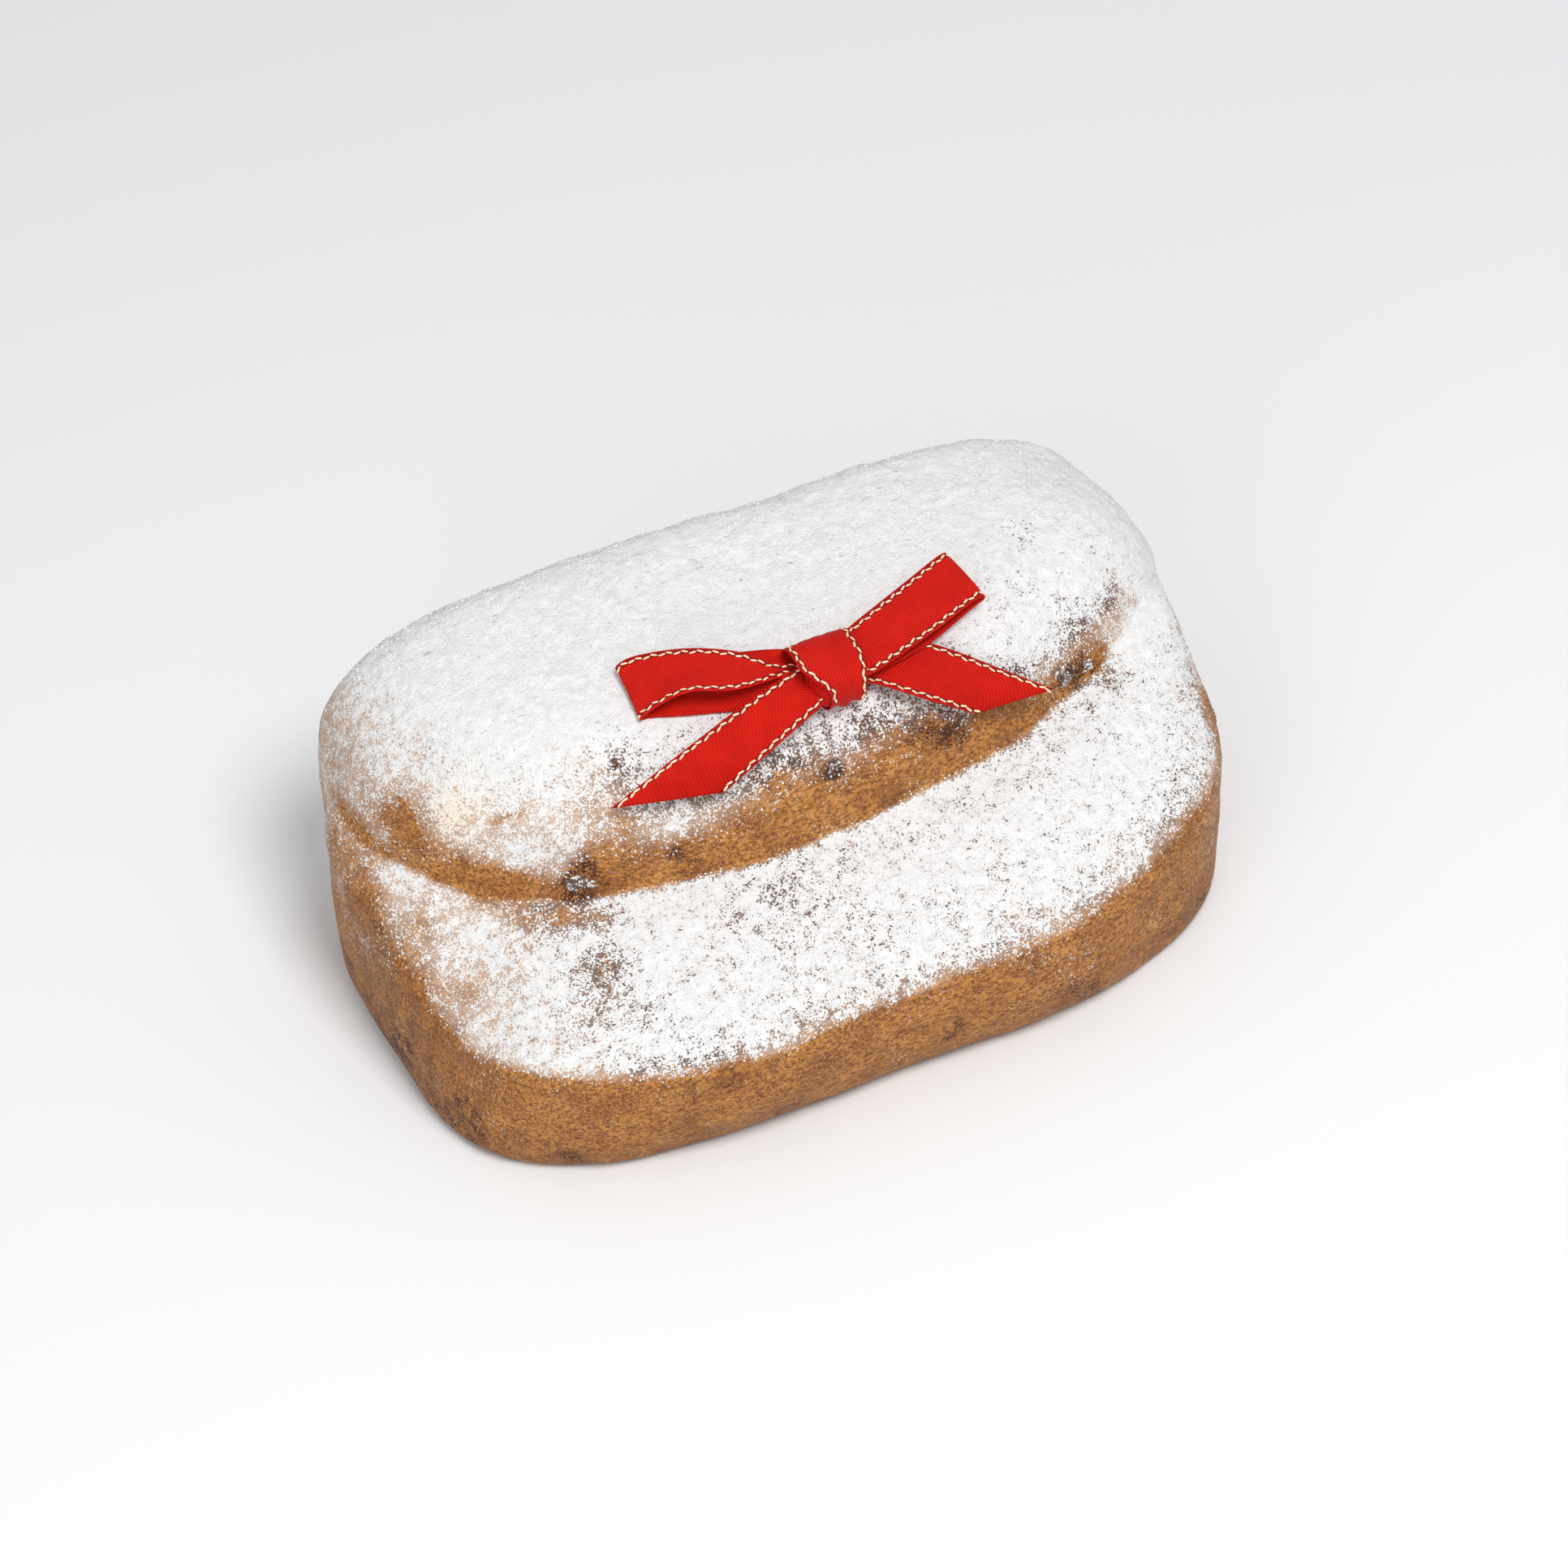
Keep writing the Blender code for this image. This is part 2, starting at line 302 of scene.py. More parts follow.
def raisin_material(name, skin, ridge):
    """Dark wrinkled skin with the same sugar on it as on the crust."""
    shader = Shader(name)
    place = shader.place()
    fold = shader.noise(place, 1.6 * MM, 3.0, 0.6)
    film = shader.noise(place, 2.6 * MM, 4.0, 0.7)
    colour = shader.mix(shader.range(fold, 0.42, 0.68), skin, ridge)
    filmed = shader.mix(shader.range(film, 0.50, 0.62, 0.0, 0.6), colour, BROWN)
    under_sugar(shader, place, filmed, shader.bump(fold, 0.3 * MM))
    return shader.material


def ribbon_material():
    """Red taffeta: a plain weave with dark gaps, darker along the stitches."""
    shader = Shader("red_taffeta")
    along, across, _ = (
        shader.node("ShaderNodeSeparateXYZ", {0: shader.uv("weave")}, axis) for axis in range(3)
    )
    edge = shader.attribute("from_edge")
    warp = shader.math("SINE", shader.math("MULTIPLY", across, math.tau / WEAVE))
    weft = shader.math("SINE", shader.math("MULTIPLY", along, math.tau / WEAVE))
    threads = shader.math("MULTIPLY", warp, weft)
    slub = shader.noise(shader.place(), 5 * MM, 3.0)
    seam = shader.math("ABSOLUTE", shader.math("SUBTRACT", edge, STITCH_INSET))
    red = shader.mix(shader.range(slub, 0.3, 0.7), RED, DULL_RED)
    woven = shader.mix(shader.range(threads, 0.1, 0.9, 0.0, 0.7), red, GAP_RED)
    sewn = shader.mix(shader.range(seam, 0.25 * MM, 0.75 * MM, 0.75, 0.0), woven, SEAM_RED)
    shader.link(sewn, "Base Color")
    shader.link(shader.bump(threads, 0.10 * MM), "Normal")
    shader.set(Roughness=0.55, Specular_IOR_Level=0.12)
    return shader.material


def thread_material():
    """Pale gold sewing thread."""
    shader = Shader("gold_thread")
    twist = shader.noise(shader.place(), 0.35 * MM, 2.0)
    gold = shader.mix(shader.range(twist, 0.4, 0.62), PALE_GOLD, GOLD)
    shader.link(gold, "Base Color")
    shader.link(shader.bump(twist, 0.08 * MM), "Normal")
    shader.set(Roughness=0.4, Specular_IOR_Level=0.6)
    return shader.material


# ---- Loaf ------------------------------------------------------------------------------------
LUMP_HEIGHT = 1.6 * MM      # unevenness of the risen dough
LUMP_SPACING = 42 * MM
# Where the dough has risen more, or sunk: place, radius and push, in millimetres.
SWELLS = (
    ((101, 9, 54), 24, (3.5, 0, 4.5)),
    ((-97, -25, 46), 20, (3, 3, -5)),
)
CAGE_CELLS = 96             # faces along each side of a pillow
CRUST_VOXEL = 1.15 * MM
SUGAR_VOXEL = 0.62 * MM


class Pillow:
    """A soft mound of dough, as in the CAD: superelliptic in plan and between wall and top."""

    def __init__(self, centre, reach, height, depth, corners, shoulders, lean=0.0, tilt=0.0):
        self.centre = np.array(centre) * MM
        self.left, self.right, self.front, self.back = (side * MM for side in reach)
        self.height = height * MM
        self.depth = depth * MM
        self.corners = corners
        self.shoulders = shoulders
        self.lean = lean
        self.tilt = tilt

    def onto_surface(self, ray):
        """The surface points in these directions from the centre."""
        x, y, z = ray.T
        front_left, front_right, back = self.corners
        corner = np.where(y > 0, back, np.where(x > 0, front_right, front_left))
        end_part = np.abs(x / np.where(x > 0, self.right, self.left)) ** corner
        side_part = np.abs(y / np.where(y > 0, self.back, self.front)) ** corner
        plan = (end_part + side_part) ** (1 / corner)
        end_share = end_part / np.maximum(end_part + side_part, 1e-12)
        side, end = self.shoulders
        shoulder = side + (end - side) * end_share
        rise = np.abs(z) / np.where(z > 0, self.height, self.depth)
        on = ray / ((plan**shoulder + rise**shoulder) ** (1 / shoulder))[:, None]
        climb = 1 + (self.lean * on[:, 1] + self.tilt * on[:, 0]) / self.height
        on[:, 2] *= np.where(on[:, 2] > 0, climb, 1)
        return self.centre + on

    def skin(self):
        """Points and faces of six grids that together close round the pillow."""
        steps = np.tan(np.linspace(-1, 1, CAGE_CELLS + 1) * math.pi / 4)
        first, second = (grid.ravel() for grid in np.meshgrid(steps, steps))
        reach = (self.left + self.right) / 2, (self.front + self.back) / 2, self.height
        corner = np.arange(CAGE_CELLS)
        start = (corner[:, None] * (CAGE_CELLS + 1) + corner).ravel()
        quads = np.stack([start, start + 1, start + CAGE_CELLS + 2, start + CAGE_CELLS + 1], 1)
        points = []
        faces = []
        for axis in range(3):
            for side in (-1, 1):
                ray = np.empty((len(first), 3))
                ray[:, axis] = side
                ray[:, (axis + 1) % 3] = first
                ray[:, (axis + 2) % 3] = second
                faces.append(quads + len(first) * len(points))
                points.append(self.lumped(self.onto_surface(ray * reach)))
        return np.concatenate(points), np.concatenate(faces)

    def lumped(self, on):
        """The surface points with the swellings and the lumps of risen dough."""
        for place, radius, push in SWELLS:
            on = on + close_to(on, place, radius)[:, None] * np.array(push) * MM
        away = on - self.centre
        away /= np.linalg.norm(away, axis=1)[:, None]
        lump = noise_at(on, LUMP_SPACING) + 0.4 * noise_at(on * 2.3, LUMP_SPACING)
        return on + away * lump[:, None] * LUMP_HEIGHT


BASE = Pillow(
    centre=(-0.5, -2, 25), reach=(99.5, 103, 62, 57), height=32.5, depth=40,
    corners=(3.0, 3.0, 5.0), shoulders=(2.6, 5.5), lean=0.27, tilt=0.06,
)
LOBE = Pillow(
    centre=(0.5, 31, 30), reach=(95, 103.5, 57.5, 33), height=55, depth=45,
    corners=(2.35, 2.6, 4.6), shoulders=(3.4, 4.2),
)


def dough_object():
    """Both layers of dough in one mesh, each flattened where it lies on the board."""
    points = []
    faces = []
    for pillow in (BASE, LOBE):
        part_points, part_faces = pillow.skin()
        faces += (part_faces + sum(map(len, points))).tolist()
        points.append(part_points)
    points = np.concatenate(points)
    points[:, 2] = np.maximum(points[:, 2], 0)
    return object_from("dough", mesh_from("dough", points.tolist(), faces))


def fused(dough, voxel, rounds):
    """One even skin round the dough, with the fold between its layers softened."""
    remesh = dough.modifiers.new("fuse", "REMESH")
    remesh.mode = "VOXEL"
    remesh.voxel_size = voxel
    graph = bpy.context.evaluated_depsgraph_get()
    mesh = bpy.data.meshes.new_from_object(dough.evaluated_get(graph))
    dough.modifiers.remove(remesh)
    relax(mesh, rounds)
    return mesh


# Where more (+) or less (-) sugar lies: place and radius in millimetres, change of cover.
DRIFTS = (
    ((-80, 2, 66), 8, 0.40),        # left end of the lobe
    ((-73, -5, 63), 7, 0.35),
    ((-66, -10, 63), 6, 0.35),
    ((-59, -13, 64), 6, 0.25),
    ((-88, 12, 61), 6, -0.20),
    ((-94, 27, 59), 12, -0.12),
    ((-94, 27, 59), 6, 0.12),
    ((-91, 14, 56), 4, 0.25),       # the streak on the lower layer's left end
    ((-89.5, 8, 50), 4, 0.05),
    ((-90, -4, 46), 5, -0.25),
    ((-88, 5, 50), 4, -0.08),
    ((-84, -1, 50), 4, -0.08),
    ((-80, -14, 46), 5, 0.15),
    ((-84, -21, 39), 7, -0.15),
    ((-100, 12, 38), 6, -0.35),
    ((-96, 26, 50), 8, -0.40),      # the bare left corner
    ((-95, 16, 50), 6, -0.35),
    ((-96, 6, 46), 7, -0.45),
    ((-94, -6, 42), 6, -0.20),
    ((-94, -12, 38), 9, -0.30),
    ((-91, -24, 36), 11, -0.30),
    ((-77, -29, 41), 8, -0.15),
    ((-66, -40, 40), 9, -0.20),
    ((-76, -8, 50), 6, -0.45),      # along the fold
    ((-69, -16, 48), 6, -0.50),
    ((-61, -20, 48), 5, -0.50),
    ((-54, -24, 48), 4, -0.35),
    ((-65, -14, 52), 5, 0.30),
    ((-59, -35, 44), 6, -0.30),     # speckled places on the lower layer
    ((-13, -36, 46), 12, -0.15),
    ((42, -40, 47), 30, 0.04),
    ((69, 15, 83), 5, -0.35),       # right end of the lobe
    ((60, -11, 71), 8, 0.25),
    ((79, -3, 73), 7, 0.20),
    ((66, -9, 71), 8, 0.15),
    ((52, -22, 55), 6, -0.20),
    ((80, -8, 63), 6, 0.30),
    ((88, -4, 62), 5, 0.25),
    ((96, 16, 62), 14, 0.60),
    ((99, 32, 60), 15, 0.40),
    ((78, -13, 58), 4, -0.50),      # the fold below it
    ((99, -24, 48), 8, -0.30),      # right corner of the lower layer
    ((101, -32, 40), 10, -0.25),
    ((4, -20, 68), 12, 0.10),       # grains of sugar along the shoulder
    ((23, -18, 72), 9, 0.10),
    ((-20, -21, 67), 8, 0.22),
    ((-36, -19, 66), 7, 0.25),
    ((-48, -19, 60), 4, 0.15),
    ((-49, -15, 67), 5, 0.25),
    ((-57, -14, 64), 5, 0.35),
    ((-60, -15, 57), 3, 0.25),
    ((-67, -10, 60), 4, 0.30),
    ((-39, -19, 65), 5, 0.12),
    ((-30, -20, 65), 5, 0.15),
    ((31, -18, 66), 5, -0.15),
    ((-27, -36, 45), 3, -0.25),
    ((0, -12, 76), 10, -0.20),
    ((22, -12, 77), 10, -0.12),
    ((-45, -12, 75), 9, -0.12),
    ((-42, -6, 76), 5, -0.20),
)
# Fine cracks in the coat, each through these points.
CRACKS = (
    ((-88, 15, 68), (-86.5, 12, 66.5), (-86, 9, 64), (-85, 7, 62)),
    ((-71, -4, 68), (-68, -5.5, 70), (-63, -6, 71), (-57, -8, 72.5)),
    ((-78, -1, 71), (-74, -2, 72.5), (-70, -1, 74.5)),
)
CRACK_HALF_WIDTH = 0.6          # millimetres
CREAM = ((-79, 1, 67.5), 7)     # where butter has soaked through: place, radius
# Cover on level crust, and what the ends, the back wall and the very top have besides.
LEVEL_COVER = 0.80
END_COVER = 0.50
BACK_COVER = 0.45
TOP_COVER = 0.22
# What a crack and a raisin take from it.
CRACK_LOSS = 0.35
RAISIN_LOSS = 0.1
MOST_COVER = 1.1


def crack_at(points):
    """1 on a crack in the coat, falling to 0 beside it."""
    found = np.zeros(len(points))
    wander = 0.8 * noise_at(points, 3 * MM, 11)[:, None]
    for crack in CRACKS:
        for start, end in zip(np.array(crack[:-1]), np.array(crack[1:])):
            away = points / MM + wander - start
            share = np.clip(away @ (end - start) / ((end - start) @ (end - start)), 0, 1)
            gap = np.linalg.norm(away - share[:, None] * (end - start), axis=1)
            found = np.maximum(found, np.exp(-(gap / CRACK_HALF_WIDTH) ** 2))
    return found


def sugar_cover(points, normals):
    """The share of the crust that sugar hides: 1 is a thick coat and 0 is bare crust."""
    x, y, z = (points / MM).T
    lying = normals[:, 2]
    cover = LEVEL_COVER * smoothstep(0.22, 0.95, lying)
    ends = smoothstep(80, 97, np.abs(x)) * smoothstep(8, 62, z)
    back = smoothstep(40, 60, y) * smoothstep(5, 50, z)
    cover += (1 - cover) * np.maximum(END_COVER * ends, BACK_COVER * back)
    cover += TOP_COVER * smoothstep(0.85, 0.99, lying) * smoothstep(66, 78, z)
    cover += 0.12 * noise_at(points, 11 * MM, 12) + 0.10 * noise_at(points, 4.5 * MM, 14)
    for place, radius, amount in DRIFTS:
        cover += amount * close_to(points, place, radius)
    return np.clip(cover - CRACK_LOSS * crack_at(points), 0, MOST_COVER)


def near_raisin(points, raisins, spread):
    """1 at a raisin, falling to 0 outside this many times its size."""
    found = np.zeros(len(points))
    for centre, size in raisins:
        away = np.linalg.norm(points - centre, axis=1) / (size * spread)
        found = np.maximum(found, np.exp(-away**4))
    return found


def moisture_and_gap_shade(points, normals):
    """1 where the crust under the sugar is dark, 0 where it is dry and pale: partly damp crust,
    partly painted shade in the gaps between the sugar grains.
    """
    x, y, z = (points / MM).T
    # Painted shade: on the ledge and the shoulder the gaps between the sugar grains are darkened,
    # and the crust there is damp as well.
    ledge = smoothstep(0.35, 0.8, normals[:, 2]) * smoothstep(62, 56, z) * smoothstep(-84, -60, x)
    shoulder = smoothstep(63, 70, z) * smoothstep(-60, -35, x) * smoothstep(94, 84, x)
    shoulder *= smoothstep(45, 20, y)
    return np.clip(0.65 * ledge + 0.75 * shoulder + 0.25 * noise_at(points, 14 * MM, 3), 0, 1)


# Where juice from the raisins has darkened the crust: place and radius in millimetres.
STAINS = (
    ((-56, -18, 51), 5),
    ((-35, -21, 58), 2.5),
    ((-11, -18, 68), 4),
    ((-27, -36, 45), 3),
    ((26, -18, 71), 7),
    ((34, -18, 65), 7),
    ((69, -12, 61), 5),
    ((72, -16, 57), 4),
)


def stained(points, raisins):
    """How much juice has darkened the crust: on the stains, and in ragged spots by the raisins."""
    spot = 0.7 * near_raisin(points, raisins, 1.3)
    for place, radius in STAINS:
        spot = np.maximum(spot, close_to(points, place, radius))
    ragged = 1.2 + 1.1 * noise_at(points, 2.8 * MM, 15)
    return 0.68 * np.clip(spot * ragged, 0, 1)


def scorching_and_shade(points, raisins):
    """1 where the crust is dark: in scorched patches, on stains, darker towards the bottom, and at
    the lower left corner, where the darkness is mostly painted shade.
    """
    x, y, z = (points / MM).T
    # The lower left corner: mostly painted shade, in part a darker crust.
    left_corner_shade = smoothstep(-88, -99, x) * smoothstep(56, 40, z) * smoothstep(30, 5, y)
    patches = 0.45 * smoothstep(0.15, 0.6, noise_at(points, 14 * MM, 16))
    scorched_and_shaded = 0.4 * left_corner_shade + 0.3 * smoothstep(20, 0, z) + patches
    scorched_and_shaded *= 0.7 + 0.6 * noise_at(points, 3 * MM, 17)
    return np.clip(scorched_and_shaded + stained(points, raisins), 0, 1)


def paint_sugar(mesh, raisins):
    """Give a skin of the loaf the numbers that the sugared crust's material reads."""
    points = read(mesh, "co")
    normals = read(mesh, "normal")
    cover = sugar_cover(points, normals) - RAISIN_LOSS * near_raisin(points, raisins, 1.2)
    paint(mesh, "cover", cover)
    paint(mesh, "brown", moisture_and_gap_shade(points, normals))
    paint(mesh, "burnt_and_shaded", scorching_and_shade(points, raisins))
    paint(mesh, "cream", close_to(points, *CREAM))
    return cover


def unevenness(points):
    """Low humps of the crust, in millimetres, which the coat of sugar follows."""
    return 0.35 * noise_at(points, 9 * MM, 1)


def build_crust(dough, raisins, material):
    """The baked loaf itself."""
    mesh = fused(dough, CRUST_VOXEL, 5)
    paint_sugar(mesh, raisins)
    points = read(mesh, "co")
    normals = read(mesh, "normal")
    wall = 1 - smoothstep(0.6, 0.9, np.abs(normals[:, 2]))
    rise = unevenness(points) + 0.22 * noise_at(points, 3.5 * MM, 2) * wall
    rise *= smoothstep(0.5, 5, points[:, 2] / MM)
    move_to(mesh, points + normals * rise[:, None] * MM)
    crust = object_from("loaf_crust", mesh, material)
    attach(crust, "root")
    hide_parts("loaf")


BARE_COVER = 0.25           # the coat ends where it is thinner than this
COAT_SINK = 0.35            # millimetres under the crust at its thinnest
COAT_RISE = 0.85            # from there to the top of a thick coat, in millimetres


def build_sugar(dough, raisins, material):
    """The layer of icing sugar: it stands on the crust, and dips under it where it is thin."""
    mesh = fused(dough, SUGAR_VOXEL, 8)
    drop_vertices(mesh, sugar_cover(read(mesh, "co"), read(mesh, "normal")) < BARE_COVER)
    cover = paint_sugar(mesh, raisins)
    points = read(mesh, "co")
    normals = read(mesh, "normal")
    coat = smoothstep(0.45, 1.0, cover)
    lumps = 0.20 * noise_at(points, 1.6 * MM, 7) + 0.25 * noise_at(points, 3.6 * MM, 8)
    height = unevenness(points) - COAT_SINK + COAT_RISE * coat + lumps * (0.3 + 0.7 * coat)
    move_to(mesh, points + normals * height[:, None] * MM)
    sugar = object_from("sugar_coat", mesh, material)
    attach(sugar, "root")
    return sugar


def drop_vertices(mesh, unwanted):
    bm = bmesh.new()
    bm.from_mesh(mesh)
    bm.verts.ensure_lookup_table()
    gone = [bm.verts[int(i)] for i in np.nonzero(unwanted)[0]]
    bmesh.ops.delete(bm, geom=gone, context="VERTS")
    bm.to_mesh(mesh)
    bm.free()


CLUMP_COUNT = 9000
SMALLEST_CLUMP = 0.13 * MM      # radius
CLUMP_SPREAD = 0.34 * MM        # from there to the radius of the largest


def scattered_clumps(points, normals, weight):
    """Points and triangles of small squashed balls that lie on some of these points."""
    dice = random.Random(7)
    chosen = dice.choices(range(len(points)), weights=weight.tolist(), k=CLUMP_COUNT)
    ball_points, ball_faces = unit_ball(1)
    all_points = []
    all_faces = []
    for number, index in enumerate(chosen):
        size = SMALLEST_CLUMP + CLUMP_SPREAD * dice.random() ** 3
        squash = np.array([dice.uniform(0.7, 1.2) for _ in range(3)])
        turn = np.array(Matrix.Rotation(dice.uniform(0, math.tau), 3, dice.choice("XYZ")))
        centre = points[index] + normals[index] * size * 0.2
        all_points.append(centre + (ball_points * squash * size) @ turn)
        all_faces.append(ball_faces + number * len(ball_points))
    return np.concatenate(all_points), np.concatenate(all_faces)


def build_clumps(sugar, material):
    """Loose lumps of sugar on the coat, most of them where it is patchy."""
    coat = sugar.data
    cover = np.empty(len(coat.vertices), np.float32)
    coat.attributes["cover"].data.foreach_get("value", cover)
    weight = 0.15 + smoothstep(0.3, 0.6, cover) * smoothstep(1.0, 0.8, cover)
    points, faces = scattered_clumps(read(coat, "co"), read(coat, "normal"), weight)
    mesh = mesh_from("sugar_clumps", points.tolist(), faces.tolist())
    clumps = object_from("sugar_clumps", mesh, material)
    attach(clumps, "root")


def unit_ball(subdivisions):
    """Points and triangles of an icosphere of radius 1."""
    bm = bmesh.new()
    bmesh.ops.create_icosphere(bm, subdivisions=subdivisions, radius=1.0)
    points = np.array([vert.co[:] for vert in bm.verts])
    faces = np.array([[vert.index for vert in face.verts] for face in bm.faces])
    bm.free()
    return points, faces


# ---- Raisins ---------------------------------------------------------------------------------
REDDISH_RAISINS = ("raisin_under_tail", "raisin_right_end")
RAISIN_MOISTURE = 0.7
# The skin and its ridges.
DARK_RAISIN = (rgb(0.045, 0.018, 0.016), rgb(0.12, 0.050, 0.040))
MAROON_RAISIN = (rgb(0.10, 0.022, 0.016), rgb(0.22, 0.070, 0.040))


def raisin_shape(name):
    """The middle of a CAD raisin, its three axes from long to short, and its half sizes."""
    points = read(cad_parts[name].data, "co") - OFFSET
    centre = (points.max(axis=0) + points.min(axis=0)) / 2
    _, _, axes = np.linalg.svd(points - points.mean(axis=0), full_matrices=False)
    half = np.abs((points - centre) @ axes.T).max(axis=0)
    return centre, axes, half


def build_raisin(name, material):
    """A shrivelled raisin in the place of its CAD solid, with wrinkles of its own."""
    centre, axes, half = raisin_shape(name)
    ball, faces = unit_ball(5)
    seed = sum(map(ord, name)) % 50
    ridges = np.abs(noise_at(ball * (0.7, 1.0, 1.0), 0.38, seed))
    swell = 0.98 + 0.24 * noise_at(ball, 0.7, seed + 1) - 0.14 * smoothstep(0.32, 0.0, ridges)
    points = centre + (ball * swell[:, None] * half) @ axes
    mesh = mesh_from(f"{name}_skin", points.tolist(), faces.tolist())
    cover = 0.34 + 0.22 * smoothstep(0.0, 0.95, read(mesh, "normal")[:, 2])
    paint(mesh, "cover", cover + 0.35 * noise_at(points, 1.7 * MM, 9))
    paint(mesh, "brown", np.full(len(points), RAISIN_MOISTURE))
    for absent in ("burnt_and_shaded", "cream"):
        paint(mesh, absent, np.zeros(len(points)))
    raisin = object_from(f"{name}_skin", mesh, material)
    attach(raisin, "root")
    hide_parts(name)


# ---- Ribbon ----------------------------------------------------------------------------------
KNOT_CENTRE = np.array((10.3, -10.6, 86.9)) * MM
KNOT_HALF = np.array((6.4, 7.2, 6.2)) * MM
KNOT_WIDTH = 7.7 * MM       # half of what the turn round the middle is wide on top
KNOT_BELOW = 2.6 * MM       # how much lower it reaches than it stands above its centre
KNOT_ROWS = 72
KNOT_START = -1.1           # where the turn begins, in radians forward of its top
CORE_REACH = 7.6 * MM       # half of how far the gathered ribbon inside it reaches across
CORE_FILL = 0.94            # how much of the room inside the turn it fills
RIBBON_THICKNESS = 0.35 * MM
WEAVE = 0.95 * MM           # one thread over and one under
STITCH_INSET = 1.0 * MM
STITCH_PITCH = 1.75 * MM
STITCH_HALF = np.array((0.96, 0.30, 0.36)) * MM
STITCH_SLANT = 0.26         # how far stitches turn to either side by turns
STITCH_SWAY = 0.17 * MM     # and how far they lie to either side

# Stations along each run of the ribbon, as in the CAD: the far and the near edge, in
# millimetres from the knot's centre.
LEFT_LOOP = (
    ((-0.8, 2.2, 1), (-0.8, -0.2, -0.2)),
    ((-10, 3.6, 1.9), (-10.4, 1, 0.7)),
    ((-19.2, 10.6, 3.8), (-23.6, 0.7, 2.2)),
    ((-29.3, 16.6, 3.6), (-33.3, 4.1, 2.8)),
    ((-39.3, 20.6, 2.2), (-40.8, 6, -0.4)),
    ((-43.6, 21.1, 0.4), (-44.2, 6.8, -3.6)),
    ((-40.8, 20.6, -1.2), (-41.6, 7.4, -4.6)),
    ((-26.8, 17.1, -1), (-32.3, 4, -4.7)),
    ((-14.4, 11.4, 1), (-19.8, 0.6, -5.2)),
    ((-7.5, 8, 1.4), (-9.8, -0.9, -3.8)),
    ((-0.8, 5, 0), (-0.8, -1.4, -3.4)),
)
RIGHT_LOOP = (
    ((0.2, 2.6, 2.8), (0.2, -4.4, -0.2)),
    ((6.3, 5.5, 3.8), (7, -5.9, -0.7)),
    ((20.7, 11.3, 4.2), (22.8, -1.6, 0.3)),
    ((35.4, 17.8, 3.8), (38.8, 4.8, -0.2)),
    ((37.6, 18.4, 2.2), (40.8, 5.4, -1.6)),
    ((34.4, 17.6, 0.4), (37.6, 5.4, -3.2)),
    ((20.2, 11.8, 0), (22.6, -0.4, -4)),
    ((7.2, 6, 0.6), (7.6, -3.9, -2.8)),
    ((0.2, 3.6, -0.2), (0.2, -3.4, -2.7)),
)
LEFT_TAIL = (
    ((0.2, 1.8, 0.4), (0.2, -4.8, -3)),
    ((-9, 1.6, 0.9), (-4.6, -7, -3)),
    ((-30, -1.6, -4.6), (-19.8, -10.3, -8.7)),
    ((-57.8, -6, -13.9), (-33.1, -13, -13.7)),
)
RIGHT_TAIL = (
    ((0.2, 3.6, -2.2), (0.2, -3.4, -3.2)),
    ((9.2, 5.4, -2.6), (7.4, -4.8, -4.2)),
    ((24.7, 1.6, -5.2), (19.1, -11, -9.7)),
    ((49.2, -13.2, -17.7), (29, -14, -15.7)),
)
# Each run with the share of its length that shows its stitches.
RUNS = {
    "left_loop": (LEFT_LOOP, 0.52),
    "right_loop": (RIGHT_LOOP, 0.5),
    "left_tail": (LEFT_TAIL, 1.0),
    "right_tail": (RIGHT_TAIL, 1.0),
}
KNOT_STITCHED = 0.5
UNSTITCHED = -1.0               # less than any share, so that no seam is drawn
STEPS_PER_STATION = 14
CELLS_ACROSS = 14


def spline(points, steps):
    """A smooth curve through all the points (Catmull-Rom)."""
    points = np.array(points, float)
    padded = [2 * points[0] - points[1], *points, 2 * points[-1] - points[-2]]
    curve = []
    for i in range(1, len(padded) - 2):
        before, start, end, after = padded[i - 1:i + 3]
        for step in range(steps):
            t = step / steps
            curve.append(
                start * (2 * t**3 - 3 * t**2 + 1)
                + (end - before) / 2 * (t**3 - 2 * t**2 + t)
                + end * (3 * t**2 - 2 * t**3)
                + (after - start) / 2 * (t**3 - t**2)
            )
    curve.append(points[-1])
    return np.array(curve)


def unit(vectors):
    return vectors / np.linalg.norm(vectors, axis=-1, keepdims=True)


def ribbon_grid(stations, seed):
    """Points of a run of ribbon, rows along it and columns across, with soft folds."""
    far = KNOT_CENTRE + spline([far for far, near in stations], STEPS_PER_STATION) * MM
    near = KNOT_CENTRE + spline([near for far, near in stations], STEPS_PER_STATION) * MM
    share = np.linspace(0, 1, CELLS_ACROSS + 1)[None, :, None]
    grid = far[:, None] * (1 - share) + near[:, None] * share
    normals = grid_normals(grid)
    middle = grid[:, CELLS_ACROSS // 2]
    pinch = np.exp(-(np.linalg.norm(middle - KNOT_CENTRE, axis=1) / (9 * MM)) ** 2)
    pleats = 0.5 * np.cos(share[0, :, 0] * math.tau * 2.0 + seed)[None, :] * pinch[:, None]
    crown = 0.25 * (1 - (2 * share[0, :, 0] - 1) ** 2)[None, :] * (1 - pinch[:, None])
    flat = grid.reshape(-1, 3)
    ripple = 0.22 * noise_at(flat, 11 * MM, seed).reshape(grid.shape[:2])
    return grid + normals * (pleats + crown + ripple)[..., None] * MM


def grid_normals(grid):
    along = np.gradient(grid, axis=0)
    across = np.gradient(grid, axis=1)
    return unit(np.cross(across, along))


def run_lengths(points):
    steps = np.linalg.norm(np.diff(points, axis=0), axis=1)
    return np.concatenate([[0], np.cumsum(steps)])


